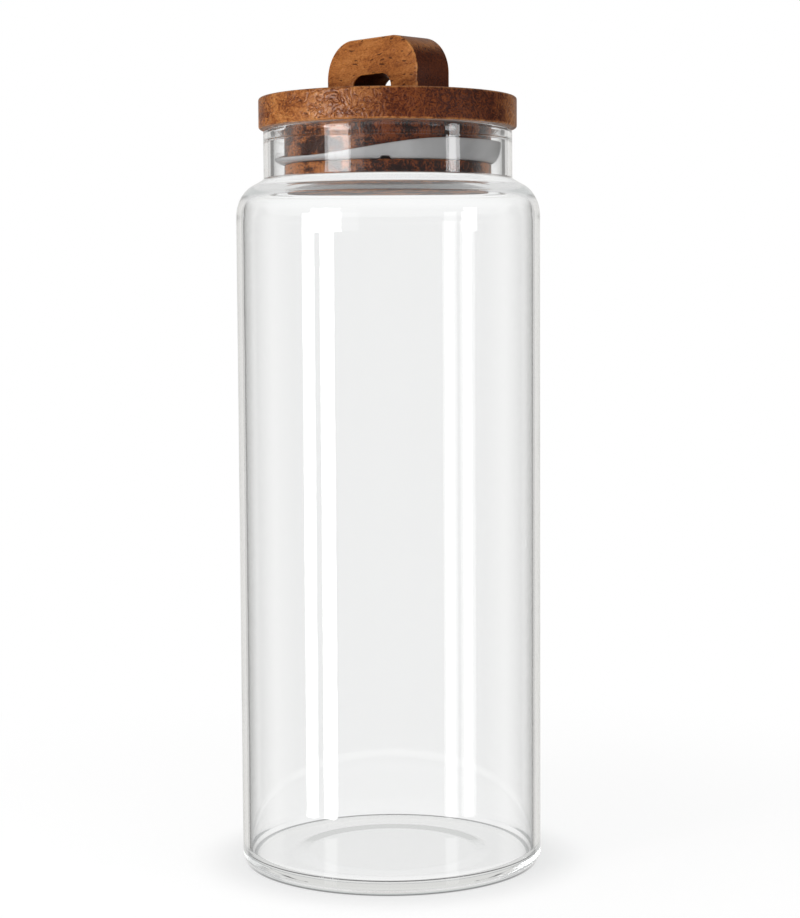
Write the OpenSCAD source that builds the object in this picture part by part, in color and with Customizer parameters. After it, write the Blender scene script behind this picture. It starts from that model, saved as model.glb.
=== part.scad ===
// Glass storage jar with a wooden push-in lid.
// The jar stands on z = 0 with its axis on Z, and the handle runs along X.
// Sizes are in millimetres.

/* [Jar body] */
// Outside diameter of the body
body_d = 100; // [92:1:130]
// Height of the glass, from the table to the rim
glass_h = 242.8; // [150:0.1:320]
// Thickness of the body's wall
body_wall = 2.5; // [1.8:0.1:3.5]
// Height of the rounded shoulder between body and neck
shoulder_h = 11.1; // [8:0.1:20]

/* [Jar neck] */
// Outside diameter of the neck
neck_d = 81.8; // [70:0.1:90]
// Thickness of the neck's wall
neck_wall = 3.3; // [2.4:0.1:4]
// Height from the top of the shoulder to the rim
neck_h = 17.5; // [15:0.5:26]
// Height of the small hollow curve where the shoulder meets the neck
neck_fillet = 1.4; // [0.6:0.1:2.6]
// Height of the hollow curve inside, where the shoulder meets the neck
inner_fillet = 4.8; // [4:0.1:9.5]
// Width of the rim's melted outer edge
rim_outer_w = 1.8; // [1:0.1:2]
// Height of the rim's melted outer edge
rim_outer_h = 1.2; // [0.8:0.1:2]
// Height of the rim's melted inner edge
rim_inner_h = 1.8; // [1:0.1:2.5]
// How far the thickened rim stands into the bore
bead_w = 0.3; // [0.1:0.05:0.5]
// Height of the thickened rim
bead_h = 3.3; // [2.6:0.1:3.8]
// Height over which the thickened rim runs out into the bore
bead_run = 1.2; // [0.6:0.1:1.5]

/* [Jar base] */
// Thickness of the floor
floor_t = 3.2; // [2.4:0.1:6]
// Outer radius where the wall turns into the base
base_edge_r = 3; // [1.5:0.1:5]
// Inner radius where the wall turns into the floor
floor_corner_r = 3.2; // [1:0.1:6]
// Diameter of the shallow hollow under the base
punt_d = 66; // [50:1:84]
// Depth of the hollow under the base
punt_depth = 0.35; // [0.2:0.05:1.2]
// Width of the sloping edge of the hollow
punt_slope_w = 5.5; // [2:0.5:10]

/* [Lid disc] */
// Thickness of the wooden disc
disc_t = 10; // [7:0.5:16]
// How far the disc stands out past the neck
disc_overhang = 1.5; // [0.5:0.1:5]
// Radius of the disc's broken edges
disc_edge_r = 0.8; // [0.3:0.1:2]

/* [Lid plug] */
// Height of the wooden plug under the disc
plug_h = 16.4; // [13.5:0.1:24]
// Gap between the plug and the neck, which the seal closes
plug_gap = 3.6; // [2.6:0.1:6]
// Height of the flange under the seal's groove
flange_h = 4.5; // [2.5:0.1:5.2]
// Height of the seal's groove
groove_h = 1.9; // [1.8:0.1:3.6]
// Depth of the seal's groove
groove_depth = 3; // [1.6:0.1:6]
// Radius of the plug's broken edges
plug_edge_r = 0.6; // [0.2:0.1:0.9]

/* [Seal] */
// Thickness of the seal's lip
lip_t = 0.9; // [0.5:0.1:1.3]
// Height of the lip where it stands up against the glass
lip_high = 6.6; // [4:0.1:8]
// Height of the lip where it has folded down
lip_low = 1.5; // [1:0.1:3.6]
// Half the angle over which the lip lies fully folded
fold_half_angle = 12; // [5:0.5:60]
// Angle over which the lip rises from folded to upright
fold_rise_angle = 76; // [30:1:90]
// Direction of the middle of the folded stretch
fold_direction = 262; // [0:1:359]
// Gap between the lip and the thickened rim, which the lip passes when the lid is lifted
lip_clearance = 0.15; // [0.1:0.05:0.4]
// Gap between the seal's root and the groove
root_clearance = 0.15; // [0.1:0.05:0.25]
// Width of the vent notch in the seal's lower edge
notch_w = 3.8; // [2:0.1:8]
// Height of the vent notch
notch_h = 0.8; // [0.5:0.1:1.5]
// Direction of the vent notch
notch_direction = 316; // [0:1:359]

/* [Handle] */
// Width of the handle
handle_w = 43.4; // [38:0.1:60]
// Thickness of the handle
handle_t = 14.5; // [11:0.1:24]
// Height of the handle
handle_h = 19.2; // [17:0.1:30]
// Radius of the handle's two shoulders
handle_corner_r = 12.2; // [6:0.1:13]
// Width of the slot through the handle
slot_w = 18.3; // [12:0.1:22]
// Height of the slot
slot_h = 7.4; // [5:0.1:11]
// Radius of the slot's two upper corners
slot_corner_r = 4.6; // [1:0.1:4.9]

/* [Screws] */
// Outside diameter of the thread
screw_d = 3.5; // [2.9:0.1:4.5]
// Diameter of the shank under the thread
screw_core_d = 2.4; // [1.8:0.1:2.7]
// Diameter of the countersunk head
screw_head_d = 6.8; // [5.5:0.1:8]
// Height of the countersunk head
screw_head_h = 2.2; // [1.6:0.1:3]
// Length from the head's face to the point
screw_l = 20; // [18:0.5:24]
// Distance from one turn of the thread to the next
thread_pitch = 1.4; // [1:0.1:2]
// Width of the two crossed slots in the head
drive_w = 0.9; // [0.6:0.1:1.4]
// Depth of the crossed slots
drive_depth = 1.4; // [0.8:0.1:1.5]

/* [Hidden] */

// Gap that lets a screw pass through wood
screw_clearance = 0.15;
// How deep the screw heads lie under the disc's face
head_recess = 0.3;
// How far a cutting shape runs past the face that it cuts
overrun = 1;
// How far the shoulder goes round its ellipse before it bends into the neck, outside and inside
shoulder_end_angle = 67.4;
inner_end_angle = 55.4;
// How far under the shoulder's foot its inside starts to curve, and how high that curve is, as shares of the shoulder
inner_drop_share = 0.38;
inner_rise_share = 1.07;
// Fullness of the shoulder's curve, outside and inside: 2 is an ellipse, more is squarer and keeps the wall even
outer_fullness = 2;
inner_fullness = 3.6;
// Width of the rim's level top, between its two melted edges
rim_flat = 0.2;
// How much of the notch's width each sloping side takes
notch_side_share = 0.22;
// Least thickness of the lip over the notch, as a share of its full thickness
notch_lip_share = 0.5;
// Space left over the screw's point in its hole
point_room = 0.5;
// Length of the screw's point
point_l = 3;

round_steps = 10;
curve_steps = 16;
run_steps = 6;
lip_steps = 7;
seal_step = 5;
notch_step = 0.5;
fine = 144;

body_r = body_d / 2;
bore_body_r = body_r - body_wall;
neck_r = neck_d / 2;
bore_r = neck_r - neck_wall;
bead_r = bore_r - bead_w;
rim_inner_w = neck_r - bead_r - rim_outer_w - rim_flat;
shoulder_top_z = glass_h - neck_h;
shoulder_z = shoulder_top_z - shoulder_h;
inner_shoulder_z = shoulder_z - shoulder_h * inner_drop_share;
inner_shoulder_h = shoulder_h * inner_rise_share;

disc_r = neck_r + disc_overhang;
disc_z = glass_h;
disc_top_z = disc_z + disc_t;
plug_r = bore_r - plug_gap;
plug_z = disc_z - plug_h;
groove_z = plug_z + flange_h;
groove_r = plug_r - groove_depth;

root_r = groove_r + root_clearance;
root_z = groove_z + root_clearance;
root_h = groove_h - 2 * root_clearance;
lip_r = bead_r - lip_clearance;

screw_x = (slot_w / 2 + handle_w / 2) / 2;
screw_z = disc_z + head_recess;
screw_tip_z = screw_z + screw_l;

// Points on an oval with half axes rx and rz about (cx, cz), from angle a to angle b.
function oval(cx, cz, rx, rz, a, b, steps = round_steps) =
    [for (i = [0 : steps]) let (t = a + (b - a) * i / steps) [cx + rx * cos(t), cz + rz * sin(t)]];

// Points on an arc of radius r about (cx, cz), from angle a to angle b.
function arc(cx, cz, r, a, b, steps = round_steps) = oval(cx, cz, r, r, a, b, steps);

// Points on a quadratic curve from p to s that leaves p and reaches s along the lines to q.
function bend(p, q, s, steps = round_steps) =
    [for (i = [0 : steps]) let (t = i / steps) (1 - t) * (1 - t) * p + 2 * t * (1 - t) * q + t * t * s];

// A shoulder: a quarter round from the wall at wide_r as far as end_angle, then a hollow curve into the neck at narrow_r.
function shoulder(wide_r, narrow_r, z, rise, fillet, end_angle, fullness) =
    let (across = wide_r - narrow_r,
         power = 2 / fullness,
         last = [narrow_r + across * pow(cos(end_angle), power), z + rise * pow(sin(end_angle), power)],
         slope = rise / across * pow(tan(end_angle), power - 2),
         corner = [narrow_r, last[1] + (last[0] - narrow_r) * slope])
    concat(
        [for (i = [0 : curve_steps - 1]) let (t = end_angle * i / curve_steps)
            [narrow_r + across * pow(cos(t), power), z + rise * pow(sin(t), power)]],
        bend(last, corner, [narrow_r, z + rise + fillet]));

// The rim: two melted edges, then the thickened part down to where it has run out into the bore.
function rim_outline() =
    concat(
        oval(neck_r - rim_outer_w, glass_h - rim_outer_h, rim_outer_w, rim_outer_h, 0, 90),
        oval(bead_r + rim_inner_w, glass_h - rim_inner_h, rim_inner_w, rim_inner_h, 90, 180),
        [for (i = [0 : run_steps]) let (t = i / run_steps)
            [bead_r + bead_w * ease(t), glass_h - bead_h - bead_run * t]]);

// Half section of the glass, once round from the middle of the underside to the middle of the floor.
function glass_outline() =
    let (punt_r = punt_d / 2)
    concat(
        [[0, punt_depth], [punt_r - punt_slope_w, punt_depth], [punt_r, 0]],
        arc(body_r - base_edge_r, base_edge_r, base_edge_r, -90, 0),
        shoulder(body_r, neck_r, shoulder_z, shoulder_h, neck_fillet, shoulder_end_angle, outer_fullness),
        rim_outline(),
        reverse(shoulder(bore_body_r, bore_r, inner_shoulder_z, inner_shoulder_h, inner_fillet,
                         inner_end_angle, inner_fullness)),
        arc(bore_body_r - floor_corner_r, floor_t + floor_corner_r, floor_corner_r, 0, -90),
        [[0, floor_t]]);

function reverse(points) = [for (i = [len(points) - 1 : -1 : 0]) points[i]];

// One blown piece: base, body, shoulder, neck and melted rim.
module glass_jar() {
    color([0.86, 0.90, 0.90, 0.35])
        rotate_extrude($fn = fine) polygon(glass_outline());
}

// Half section of a turned disc with rounded edges, from z0 to z1.
module turned_disc(r, z0, z1, edge_r) {
    rotate_extrude($fn = fine)
        polygon(concat(
            [[0, z0]],
            arc(r - edge_r, z0 + edge_r, edge_r, -90, 0, round_steps / 2),
            arc(r - edge_r, z1 - edge_r, edge_r, 0, 90, round_steps / 2),
            [[0, z1]]));
}

// Puts its children at both screws.
module at_screws() {
    for (side = [-1, 1]) translate([side * screw_x, 0, 0]) children();
}

// The top disc, which rests on the rim, drilled and countersunk from below for the handle's screws.
module lid_disc() {
    hole_r = screw_d / 2 + screw_clearance;
    head_r = screw_head_d / 2 + screw_clearance;
    color([0.45, 0.23, 0.11])
        difference() {
            turned_disc(disc_r, disc_z, disc_top_z, disc_edge_r);
            at_screws() {
                translate([0, 0, disc_z - overrun]) cylinder(h = disc_t + 2 * overrun, r = hole_r, $fn = fine);
                translate([0, 0, disc_z - overrun]) cylinder(h = head_recess + overrun, r = head_r, $fn = fine);
                translate([0, 0, screw_z]) cylinder(h = screw_head_h, r1 = head_r, r2 = hole_r, $fn = fine);
            }
        }
}

// The plug glued under the disc, with the groove that holds the seal.
module lid_plug() {
    edge = plug_edge_r;
    groove_top_z = groove_z + groove_h;
    color([0.34, 0.17, 0.09])
        rotate_extrude($fn = fine)
            polygon(concat(
                [[0, plug_z]],
                arc(plug_r - edge, plug_z + edge, edge, -90, 0, round_steps / 2),
                arc(plug_r - edge, groove_z - edge, edge, 0, 90, round_steps / 2),
                [[groove_r, groove_z], [groove_r, groove_top_z], [plug_r, groove_top_z],
                 [plug_r, disc_z], [0, disc_z]]));
}

// Outline of a block with two rounded upper corners, standing on the origin.
module arch(w, h, r) {
    intersection() {
        translate([-w / 2, 0]) square([w, h]);
        union() {
            translate([-w / 2, 0]) square([w, h - r]);
            translate([r - w / 2, 0]) square([w - 2 * r, h]);
            for (side = [-1, 1]) translate([side * (w / 2 - r), h - r]) circle(r = r, $fn = fine);
        }
    }
}

// The handle: a block with rounded shoulders and a slot under it, screwed down from below.
module lid_handle() {
    color([0.55, 0.30, 0.14])
        difference() {
            translate([0, handle_t / 2, disc_top_z]) rotate([90, 0, 0])
                linear_extrude(height = handle_t)
                    difference() {
                        arch(handle_w, handle_h, handle_corner_r);
                        translate([0, -overrun]) arch(slot_w, slot_h + overrun, slot_corner_r);
                    }
            at_screws() translate([0, 0, disc_top_z - overrun])
                cylinder(h = screw_tip_z + point_room - disc_top_z + overrun, r = screw_d / 2, $fn = fine);
        }
}

// One countersunk wood screw, head down, with its face on z = 0 and a plain shank through the disc.
module wood_screw() {
    core_r = screw_core_d / 2;
    crest_r = screw_d / 2 - screw_clearance / 2;
    shank_z = disc_t - head_recess;
    thread_l = screw_l - shank_z - point_l;
    turns = floor(thread_l / thread_pitch);
    thread = [for (i = [0 : turns - 1]) let (z = shank_z + i * thread_pitch)
        each [[core_r, z], [crest_r, z + thread_pitch / 2], [core_r, z + thread_pitch]]];
    difference() {
        rotate_extrude($fn = fine / 3)
            polygon(concat(
                [[0, 0], [screw_head_d / 2, 0], [crest_r, screw_head_h], [crest_r, shank_z]],
                thread,
                [[core_r, screw_l - point_l], [0, screw_l]]));
        for (turn = [0, 90]) rotate([0, 0, turn])
            translate([-screw_head_d / 4, -drive_w / 2, -overrun])
                cube([screw_head_d / 2, drive_w, drive_depth + overrun]);
    }
}

// The two screws that hold the handle to the disc.
module handle_screws() {
    color([0.72, 0.72, 0.74])
        at_screws() translate([0, 0, screw_z]) wood_screw();
}

// A smooth step from 0 to 1 as t goes from 0 to 1.
function ease(t) = let (u = min(1, max(0, t))) u * u * (3 - 2 * u);

// The shorter way round between two directions, in degrees.
function turn_between(a, b) = let (d = abs(a - b) % 360) min(d, 360 - d);

// Height of the lip at a direction: low where it has folded down, high elsewhere.
function lip_height(a) =
    lip_low + (lip_high - lip_low) * ease((turn_between(a, fold_direction) - fold_half_angle) / fold_rise_angle);

notch_half_angle = notch_w / 2 / plug_r * 180 / PI;

// How far the seal's lower edge is cut up at a direction, for the notch.
function notch_rise(a) =
    let (inside = notch_half_angle - turn_between(a, notch_direction))
    notch_h * min(1, max(0, inside / (notch_half_angle * 2 * notch_side_share)));

// Directions of the seal's sections, closer together across the notch.
seal_angles = concat(
    [for (a = [-notch_half_angle : notch_step : notch_half_angle]) notch_direction + a],
    [for (a = [notch_half_angle + seal_step / 2 : seal_step : 360 - notch_half_angle - seal_step / 2])
        notch_direction + a]);

// Points along one side of the lip, which leaves the plug level at z0, ends upright at z1 and keeps over least_z.
function lip_side(reach, z0, z1, least_z) =
    [for (i = [0 : lip_steps]) let (t = 90 * i / lip_steps)
        [plug_r + reach * sin(t), max(least_z, z0 + (z1 - z0) * (1 - cos(t)))]];

// Section of the seal at a direction: the root in the groove, then the lip out to the glass and back.
function seal_section(a) =
    let (under_z = root_z + notch_rise(a),
         over_z = under_z + lip_t * notch_lip_share,
         tip_z = root_z + lip_height(a))
    concat(
        [[root_r, under_z]],
        lip_side(lip_r - plug_r, root_z, tip_z, under_z),
        reverse(lip_side(lip_r - lip_t - plug_r, root_z + lip_t, tip_z, over_z)),
        [[plug_r, root_z + root_h], [root_r, root_z + root_h]]);

// The silicone seal: a root in the plug's groove and a thin lip that sweeps out and up to the glass.
module lid_seal() {
    rings = len(seal_angles);
    count = len(seal_section(0));
    points = [for (a = seal_angles) for (p = seal_section(a)) [p[0] * cos(a), p[0] * sin(a), p[1]]];
    faces = [for (i = [0 : rings - 1]) for (j = [0 : count - 1])
        let (i1 = (i + 1) % rings, j1 = (j + 1) % count)
        each [[i * count + j, i * count + j1, i1 * count + j], [i1 * count + j, i * count + j1, i1 * count + j1]]];
    color([0.74, 0.76, 0.77, 0.85]) polyhedron(points, faces);
}

glass_jar();
lid_disc();
lid_plug();
lid_handle();
handle_screws();
lid_seal();
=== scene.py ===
"""Looks of a glass storage jar with a wooden push-in lid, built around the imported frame.

Lengths are in metres and angles in degrees. The jar stands on z = 0 with its axis on Z, and the
width of the lid's handle lies along X.
"""
import logging
import math
from dataclasses import dataclass
from enum import Enum
from typing import Any, Callable, Sequence, Union

import bmesh
import bpy
from mathutils import Matrix, Vector


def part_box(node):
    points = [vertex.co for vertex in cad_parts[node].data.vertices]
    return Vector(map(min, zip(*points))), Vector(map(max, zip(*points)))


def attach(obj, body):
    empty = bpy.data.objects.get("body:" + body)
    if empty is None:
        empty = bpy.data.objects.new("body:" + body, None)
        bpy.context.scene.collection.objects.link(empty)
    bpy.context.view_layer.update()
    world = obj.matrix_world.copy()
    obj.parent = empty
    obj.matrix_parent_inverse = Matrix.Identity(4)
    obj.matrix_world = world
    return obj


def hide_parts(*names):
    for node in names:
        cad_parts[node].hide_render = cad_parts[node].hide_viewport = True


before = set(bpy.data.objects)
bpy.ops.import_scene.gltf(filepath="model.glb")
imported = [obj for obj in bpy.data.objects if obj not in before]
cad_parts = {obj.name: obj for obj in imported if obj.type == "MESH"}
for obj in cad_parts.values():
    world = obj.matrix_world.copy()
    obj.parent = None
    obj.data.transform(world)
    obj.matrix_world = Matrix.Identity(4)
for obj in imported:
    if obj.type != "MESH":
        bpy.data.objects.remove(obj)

MM = 0.001
LOG = logging.getLogger("storage_jar")

Point = tuple[float, float]
Pair = tuple[float, float]
Colour = tuple[float, float, float]
Direction = tuple[float, float, float]
Node = bpy.types.Node
Socket = bpy.types.NodeSocket
Piece = bpy.types.Object

WHITE: Colour = (1.0, 1.0, 1.0)
BLACK: Colour = (0.0, 0.0, 0.0)
UP: Direction = (0.0, 0.0, 1.0)


class Body(Enum):
    """The rigid bodies of the jar."""

    JAR = "jar"
    SEAL = "seal"
    LID = "lid"


class Ray(Enum):
    """Kinds of ray that the studio answers differently, by their Light Path outputs."""

    CAMERA = "Is Camera Ray"
    SHADOW = "Is Shadow Ray"
    DIFFUSE = "Is Diffuse Ray"
    TRANSMISSION = "Is Transmission Ray"
    GLOSSY = "Is Glossy Ray"
    SHARP = "Is Singular Ray"


class Blend(Enum):
    """Ways to lay one colour over another."""

    MIX = "MIX"
    MULTIPLY = "MULTIPLY"


# Small helpers


def paint(red: int, green: int, blue: int) -> Colour:
    """Turns a colour given as 0 to 255 display values into linear light, by the usual display curve.

    Args:
        red: Display value of red.
        green: Display value of green.
        blue: Display value of blue.

    Returns:
        The linear colour.
    """
    shares = (channel / 255 for channel in (red, green, blue))
    return tuple(s / 12.92 if s <= 0.04045 else ((s + 0.055) / 1.055) ** 2.4 for s in shares)


def scaled(colour: Colour, factor: float) -> Colour:
    """A colour with each channel multiplied by a factor."""
    return tuple(channel * factor for channel in colour)


def oval(centre: Point, half: Point, start: float, end: float, steps: int) -> list[Point]:
    """Gives points on an oval in the half section, radius first and height second.

    Args:
        centre: The oval's centre.
        half: Half its width and half its height.
        start: Angle of the first point.
        end: Angle of the last point.
        steps: How many stretches the curve is cut into.

    Returns:
        The points, both ends included.
    """
    angles = (math.radians(start + (end - start) * i / steps) for i in range(steps + 1))
    return [(centre[0] + half[0] * math.cos(a), centre[1] + half[1] * math.sin(a)) for a in angles]


def arc(centre: Point, radius: float, start: float, end: float, steps: int) -> list[Point]:
    """Gives points on an arc, as oval does."""
    return oval(centre, (radius, radius), start, end, steps)


def bend(start: Point, corner: Point, end: Point, steps: int) -> list[Point]:
    """Gives points on a quadratic curve that leaves start and reaches end along the lines to corner.

    Args:
        start: The first point.
        corner: Where the lines at both ends meet.
        end: The last point.
        steps: How many stretches the curve is cut into.

    Returns:
        The points, both ends included.
    """
    points = []
    for i in range(steps + 1):
        t = i / steps
        weights = ((1 - t) ** 2, 2 * t * (1 - t), t ** 2)
        points.append(tuple(sum(w * p[k] for w, p in zip(weights, (start, corner, end))) for k in (0, 1)))
    return points


def held(points: Sequence[Point], reach: float = 0.3 * MM, least: float = 2.4 * MM) -> list[Point]:
    """Adds points near both ends of each long straight stretch, so that it reflects as a straight one.

    Args:
        points: The points of a section.
        reach: How far from the ends the new points lie.
        least: The shortest stretch that gets them.

    Returns:
        All points in order.
    """
    kept = [points[0]]
    for start, end in zip(points, points[1:]):
        length = math.dist(start, end)
        if length > least:
            for share in (reach / length, 1 - reach / length):
                kept.append(tuple(a + (b - a) * share for a, b in zip(start, end)))
        kept.append(end)
    return kept


def ease(share: float) -> float:
    """A smooth step from 0 to 1 as share goes from 0 to 1."""
    u = min(1.0, max(0.0, share))
    return u * u * (3 - 2 * u)


def turn_between(first: float, second: float) -> float:
    """The shorter way round between two directions."""
    turn = abs(first - second) % 360
    return min(turn, 360 - turn)


# Node building


Number = Union[float, int, "Value"]


class NodeTree:
    """A node tree under construction: a material, the world, a lamp or a geometry group."""

    def __init__(self, tree: bpy.types.NodeTree, output: str | None = None) -> None:
        """Keeps the tree that the nodes go into.

        Args:
            tree: The tree.
            output: Type of its output node. Where it is given, the tree is emptied and gets that node.
        """
        self.tree = tree
        if output:
            tree.nodes.clear()
            self.output = self.node(output)

    def node(
        self,
        kind: str,
        settings: dict[str, Any] | None = None,
        sockets: dict[str | int, Any] | None = None,
    ) -> Node:
        """Adds one node.

        Args:
            kind: The node's type.
            settings: Its properties, which are set first. A ramp's "stops" are (place, colour) pairs.
            sockets: Values, colours or links for its inputs, by name or number.

        Returns:
            The new node.
        """
        made = self.tree.nodes.new(kind)
        for name, value in (settings or {}).items():
            if name == "stops":
                self._set_stops(made.color_ramp, value)
            else:
                setattr(made, name, value)
        for key, value in (sockets or {}).items():
            self.feed(made.inputs[key], value)
        return made

    def feed(self, target: Socket, value: Any) -> None:
        """Fills one input.

        Args:
            target: The input.
            value: A socket or a Value, which is linked, or a plain number, colour or vector.
        """
        if isinstance(value, Value):
            self.tree.links.new(value.socket, target)
        elif isinstance(value, Socket):
            self.tree.links.new(value, target)
        elif target.type == "RGBA":
            target.default_value = (*value[:3], 1.0)
        else:
            target.default_value = value

    @staticmethod
    def _set_stops(ramp: bpy.types.ColorRamp, stops: Sequence[tuple[float, Colour]]) -> None:
        """Gives a colour ramp its stops.

        Args:
            ramp: The ramp, which has two stops at first.
            stops: Pairs of place and colour, two or more.
        """
        while len(ramp.elements) < len(stops):
            ramp.elements.new(1.0)
        for element, (place, colour) in zip(ramp.elements, stops):
            element.position = place
            element.color = (*colour, 1.0)

    def show(self, shader: Node) -> None:
        """Links a shader to the tree's output."""
        self.feed(self.output.inputs["Surface"], shader.outputs[0])

    def value(self, node: Node, output: str | int = 0) -> "Value":
        """Wraps one output of a node, so that it can be used in sums."""
        return Value(self, node.outputs[output])

    def place(self) -> Socket:
        """The place on the piece, in Object coordinates."""
        return self.node("ShaderNodeTexCoord").outputs["Object"]

    def axes(self, place: Socket) -> tuple["Value", "Value", "Value"]:
        """The three coordinates of a place."""
        parts = self.node("ShaderNodeSeparateXYZ", None, {0: place})
        return tuple(self.value(parts, axis) for axis in "XYZ")

    def step(self, value: "Value", low: float, high: float) -> "Value":
        """A smooth step from 0 at low to 1 at high; high may be the smaller."""
        sockets = {"Value": value, "From Min": low, "From Max": high}
        return self.value(self.node("ShaderNodeMapRange", {"interpolation_type": "SMOOTHSTEP"}, sockets))

    def ramp(self, value: "Value", stops: Sequence[tuple[float, Colour]]) -> Socket:
        """A colour that follows a value through the given stops."""
        return self.node("ShaderNodeValToRGB", {"stops": stops}, {"Fac": value}).outputs["Color"]

    def tint(self, blend: Blend, share: Number, under: Socket | Colour, over: Socket | Colour) -> Socket:
        """Blends one colour over another.

        Args:
            blend: How the colours are blended.
            share: How much of the blend shows.
            under: The colour below.
            over: The colour laid over it.

        Returns:
            The socket that carries the blended colour.
        """
        made = self.node("ShaderNodeMix", {"data_type": "RGBA", "blend_type": blend.value})
        for place, value in ((0, share), (6, under), (7, over)):
            self.feed(made.inputs[place], value)
        return made.outputs[2]

    def noise(self, where: Socket, scale: float, **sockets: Number) -> Node:
        """Fractal noise at a place; other inputs are given by their names in small letters."""
        named = {name.title(): value for name, value in sockets.items()}
        return self.node("ShaderNodeTexNoise", None, {"Vector": where, "Scale": scale, **named})

    def bump(self, height: "Value", strength: float, distance: float) -> Socket:
        """The surface's direction where a height raises it by up to distance."""
        sockets = {"Height": height, "Strength": strength, "Distance": distance}
        return self.node("ShaderNodeBump", None, sockets).outputs["Normal"]

    def glow(self, strength: Number, colour: Socket | Colour = WHITE) -> Node:
        """A shader that shines by itself."""
        return self.node("ShaderNodeEmission", None, {"Color": colour, "Strength": strength})

    def vector(self, operation: str, *vectors: Socket | Direction) -> Node:
        """Adds a Vector Math node on the given vectors."""
        return self.node("ShaderNodeVectorMath", {"operation": operation}, dict(enumerate(vectors)))

    def dot(self, first: Socket, second: Socket | Direction) -> "Value":
        """The dot product of two vectors."""
        return self.value(self.vector("DOT_PRODUCT", first, second), "Value")

    def length(self, place: Socket) -> "Value":
        """How far a place lies from the origin."""
        return self.value(self.vector("LENGTH", place), "Value")

    def along(self, place: Socket, axis: Direction, shrink: Direction) -> Socket:
        """Measures a place along an axis and across it, so that a pattern can follow the axis.

        Args:
            place: The place.
            axis: The direction that becomes the pattern's first axis.
            shrink: What each of the three measures is multiplied by; a small one stretches the pattern.

        Returns:
            The socket that carries the measured place.
        """
        first = Vector(axis).normalized()
        second = Vector(UP).cross(first).normalized()
        axes = (first, second, first.cross(second))
        parts = [self.dot(place, tuple(v * share)) for v, share in zip(axes, shrink)]
        return self.node("ShaderNodeCombineXYZ", None, dict(zip("XYZ", parts))).outputs["Vector"]

    def pushed(self, place: Socket, push: Socket, reach: float) -> Socket:
        """Moves a place by a noise colour.

        Args:
            place: The place.
            push: The noise's colour.
            reach: How far it moves each way at most.

        Returns:
            The socket that carries the moved place.
        """
        centred = self.vector("SUBTRACT", push, (0.5, 0.5, 0.5)).outputs["Vector"]
        return self.vector("MULTIPLY_ADD", centred, (2 * reach,) * 3, place).outputs["Vector"]


class Value:
    """A number carried by a socket, so that shader maths reads as plain arithmetic."""

    def __init__(self, tree: NodeTree, socket: Socket) -> None:
        """Wraps a socket of the tree."""
        self.tree = tree
        self.socket = socket

    def _pair(self, operation: str, first: Number, second: Number | None = None) -> "Value":
        """Adds a Math node on one or two numbers."""
        numbers = {0: first} if second is None else {0: first, 1: second}
        return self.tree.value(self.tree.node("ShaderNodeMath", {"operation": operation}, numbers))

    def __add__(self, other: Number) -> "Value":
        """self + other"""
        return self._pair("ADD", self, other)

    __radd__ = __add__

    def __sub__(self, other: Number) -> "Value":
        """self - other"""
        return self._pair("SUBTRACT", self, other)

    def __rsub__(self, other: Number) -> "Value":
        """other - self"""
        return self._pair("SUBTRACT", other, self)

    def __mul__(self, other: Number) -> "Value":
        """self * other"""
        return self._pair("MULTIPLY", self, other)

    __rmul__ = __mul__

    def __truediv__(self, other: Number) -> "Value":
        """self / other"""
        return self._pair("DIVIDE", self, other)

    def __pow__(self, other: Number) -> "Value":
        """self to the power of other"""
        return self._pair("POWER", self, other)

    def __mod__(self, other: Number) -> "Value":
        """What is left of self after whole multiples of other"""
        return self._pair("MODULO", self, other)

    def __abs__(self) -> "Value":
        """The size of self without its sign"""
        return self._pair("ABSOLUTE", self)

    def __gt__(self, other: Number) -> "Value":
        """1 where self is over other, and otherwise 0"""
        return self._pair("GREATER_THAN", self, other)

    def __lt__(self, other: Number) -> "Value":
        """1 where self is under other, and otherwise 0"""
        return self._pair("LESS_THAN", self, other)

    def floor(self) -> "Value":
        """The whole number at or under self."""
        return self._pair("FLOOR", self)

    def root(self) -> "Value":
        """The square root of self."""
        return self._pair("SQRT", self)

    def arc_cosine(self) -> "Value":
        """The angle whose cosine is self, in radians."""
        return self._pair("ARCCOSINE", self)

    def larger(self, other: Number) -> "Value":
        """The larger of self and other."""
        return self._pair("MAXIMUM", self, other)


def new_material(name: str, slot: str | None = None) -> tuple[bpy.types.Material, NodeTree]:
    """Starts a material.

    Args:
        name: The material's name.
        slot: The record's slot that it belongs to, if any.

    Returns:
        The material and its tree, with only the output in it.
    """
    material = bpy.data.materials.new(name)
    material.use_nodes = True
    if slot:
        material["record_slot"] = slot
    return material, NodeTree(material.node_tree, "ShaderNodeOutputMaterial")


# Finishes


Mask = Callable[[NodeTree, Socket], Value]


@dataclass(frozen=True)
class Layer:
    """One layer of noise in the wood, stretched by small shares."""

    shares: Direction
    scale: float
    detail: float
    roughness: float = 0.5

    def draw(self, tree: NodeTree, place: Socket, axis: Direction) -> Value:
        """Gives the layer's value at a place.

        Args:
            tree: The material's tree.
            place: The place.
            axis: The direction that the first share stretches the layer along.

        Returns:
            The value, about 0.5 on average.
        """
        where = tree.along(place, axis, self.shares)
        return tree.value(tree.noise(where, self.scale, detail=self.detail, roughness=self.roughness))


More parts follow.
